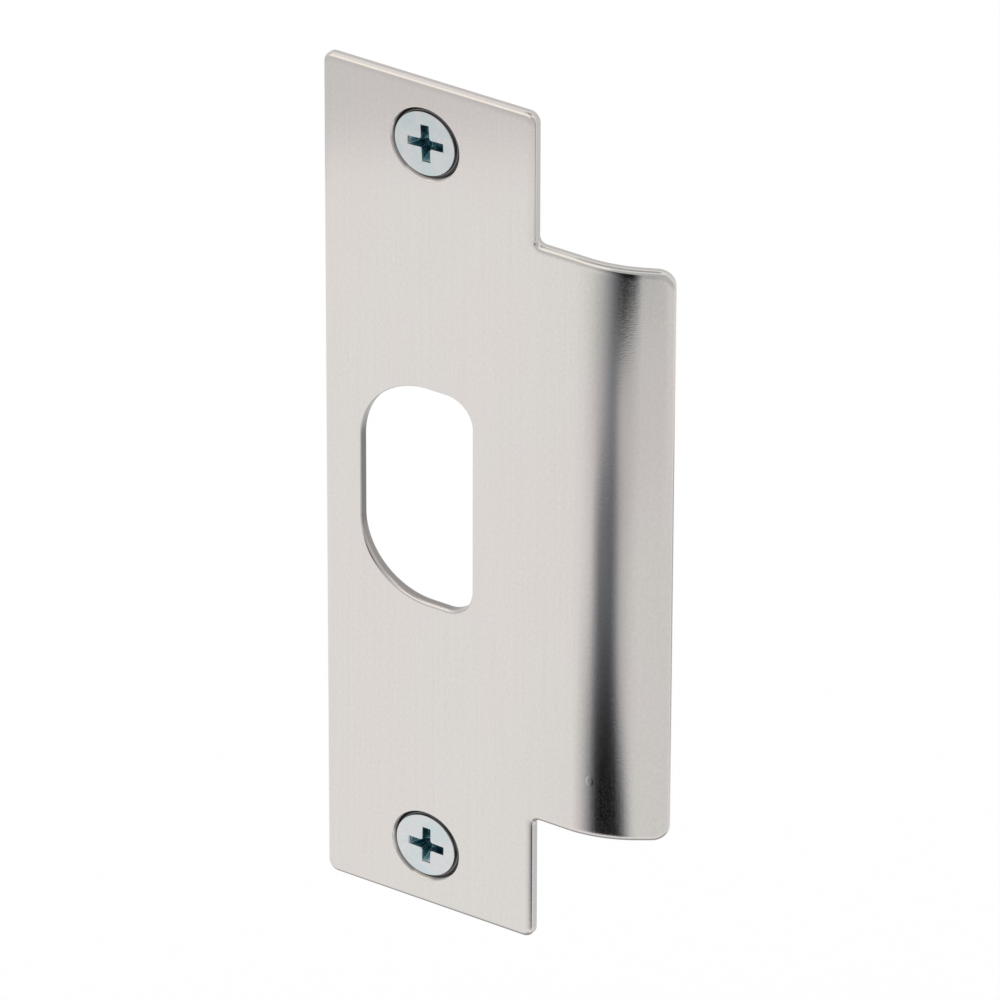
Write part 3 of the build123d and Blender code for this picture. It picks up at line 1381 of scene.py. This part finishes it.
    def screen_material(self) -> bpy.types.Material:
        """The screens' own glow: fainter towards the top, and dark where the gaps are."""
        material, bench = Bench.material("screens")
        x, y, height = bench.axes(bench.place())
        azimuth = (x - self.screen_centre_x).angle_to(0 - y)
        in_front = azimuth.within(*self.front)
        level = 1 - azimuth.step(*self.rear) * self.rear_drop
        for drop, heights in self.front_drops:
            level = level - in_front * height.step(*heights) * drop
        level = level * (1 - azimuth.step(*self.past_left) * self.past_left_drop)
        level = level * (1 - azimuth.within(*self.right) * self.right_drop)
        for gap in self.gaps:
            level = level * (1 - gap.cover(azimuth, height))
        panel = azimuth.within(*self.panel) * height.step(*self.panel_rise)
        side = azimuth.step(*self.side) * (1 - height.step(*self.side_top))
        self.glow(bench, level + panel * self.panel_level, panel, side)
        return material

    def glow(self, bench: Bench, level: Wire, panel: Wire | float = 0.0,
             side: Wire | float = 0.0) -> None:
        """Ends a material with a glow: white where full, bluer in the gaps, warm on the panel.

        Args:
            bench: the material's bench.
            level: how bright it is.
            panel: how far each place is part of the warm panel.
            side: how far each place is part of the cool side.
        """
        white = (1.0, 1.0, 1.0)
        colour = bench.blend(level.step(*self.faded_below), opaque(self.faded), opaque(white))
        colour = bench.blend(panel, colour, opaque(self.panel_colour))
        colour = bench.blend(side, colour, opaque(self.side_colour))
        bench.finish(bench.node("ShaderNodeEmission", values={
            "Color": bench.tint(colour, level), "Strength": 1.0,
        }))

    def turned(self, name: str, steps: int, rings: list[Span]) -> bpy.types.Object:
        """Makes a surface turned about the screens' upright axis, that only the metal sees.

        Args:
            name: its name.
            steps: how many steps it has round the axis.
            rings: the (radius, height) of each ring of points.

        Returns:
            Its object, without a material.
        """
        angle = np.linspace(0.0, 2 * math.pi, steps + 1)[:, None]
        radius, z = np.array(rings).T[:, None, :]
        x = self.screen_centre_x + radius * np.cos(angle)
        skin = Skin()
        skin.add(np.stack([x, radius * np.sin(angle), np.broadcast_to(z, x.shape)], axis=-1))
        surface = skin.piece(name)
        surface.visible_camera = False
        surface.visible_diffuse = False
        surface.visible_shadow = False
        return surface

    def add_disc(self, name: str, z: float, dim: float, bright: Span) -> None:
        """Lays a disc across the screens, dim in its middle.

        Args:
            name: its name.
            z: its height.
            dim: its level in the middle.
            bright: how far from its middle it starts to brighten, and is fully bright.
        """
        material, bench = Bench.material(name)
        x, y, _ = bench.axes(bench.place())
        away = ((x - self.screen_centre_x) ** 2 + y ** 2).root()
        self.glow(bench, away.step(*bright).between(dim, 1.0))
        disc = self.turned(name, self.disc_steps, [(0.0, z), (self.screen_r, z)])
        disc.data.materials.append(material)

    def add_screens(self) -> None:
        """Stands the screens round the object, as a cylinder with a disc at each end."""
        low, high = self.screen_low_z, self.screen_high_z
        screens = self.turned("screens", self.screen_steps,
                              [(self.screen_r, low), (self.screen_r, high)])
        screens.data.materials.append(self.screen_material())
        self.add_disc("screen_foot", low, self.foot_level, self.foot_bright)
        self.add_disc("screen_head", high, self.head_level, self.head_bright)

    def add_light(self) -> None:
        """Adds the white sky and one large soft lamp, high on the left in front."""
        world = bpy.data.worlds.new("sky")
        bpy.context.scene.world = world
        world.use_nodes = True
        bench = Bench(world.node_tree)
        rays = bench.node("ShaderNodeLightPath").outputs
        camera, glossy, passed = (Wire(bench, rays[f"Is {kind} Ray"])
                                  for kind in ("Camera", "Glossy", "Transmission"))
        seen = (camera + glossy + passed).at_most(1.0)
        sky = bench.node("ShaderNodeBackground", values={
            "Color": opaque((1.0, 1.0, 1.0)),
            "Strength": self.sky_level + seen * (1.0 - self.sky_level),
        })
        bench.node("ShaderNodeOutputWorld", values={"Surface": sky.outputs[0]})
        lamp = bpy.data.lights.new("soft_lamp", "SUN")
        lamp.energy = self.sun_level
        lamp.angle = math.radians(self.sun_size_deg)
        sun = bpy.data.objects.new("soft_lamp", lamp)
        towards = self.direction(self.sun_azimuth, self.sun_elevation)
        sun.rotation_euler = towards.to_track_quat("Z", "Y").to_euler()
        sun.visible_glossy = False
        bpy.context.scene.collection.objects.link(sun)

    def build(self) -> None:
        """Makes everything round the object."""
        self.add_camera()
        self.add_floor()
        self.add_screens()
        self.add_light()
        bpy.context.scene.view_settings.view_transform = "Standard"


def dress(piece: bpy.types.Object, material: bpy.types.Material) -> None:
    """Gives a piece its finish and reports it."""
    piece.data.materials.append(material)
    log.info("%s: %d faces, %s", piece.name, len(piece.data.polygons), material.name)


def main() -> None:
    """Builds the plate, the screws and the studio, and writes down how large the result is."""
    logging.basicConfig(level=logging.INFO, format="%(name)s: %(message)s")
    Studio().build()
    dress(StrikePlate().build(), SatinSteel().material())
    zinc = BrightZinc().material()
    screws = (
        Screw(tab=Tab.UPPER, node="upper_screw", turn_deg=-3.0),
        Screw(tab=Tab.LOWER, node="lower_screw", turn_deg=1.0),
    )
    for screw in screws:
        dress(screw.build(), zinc)


if __name__ == "__main__":
    main()
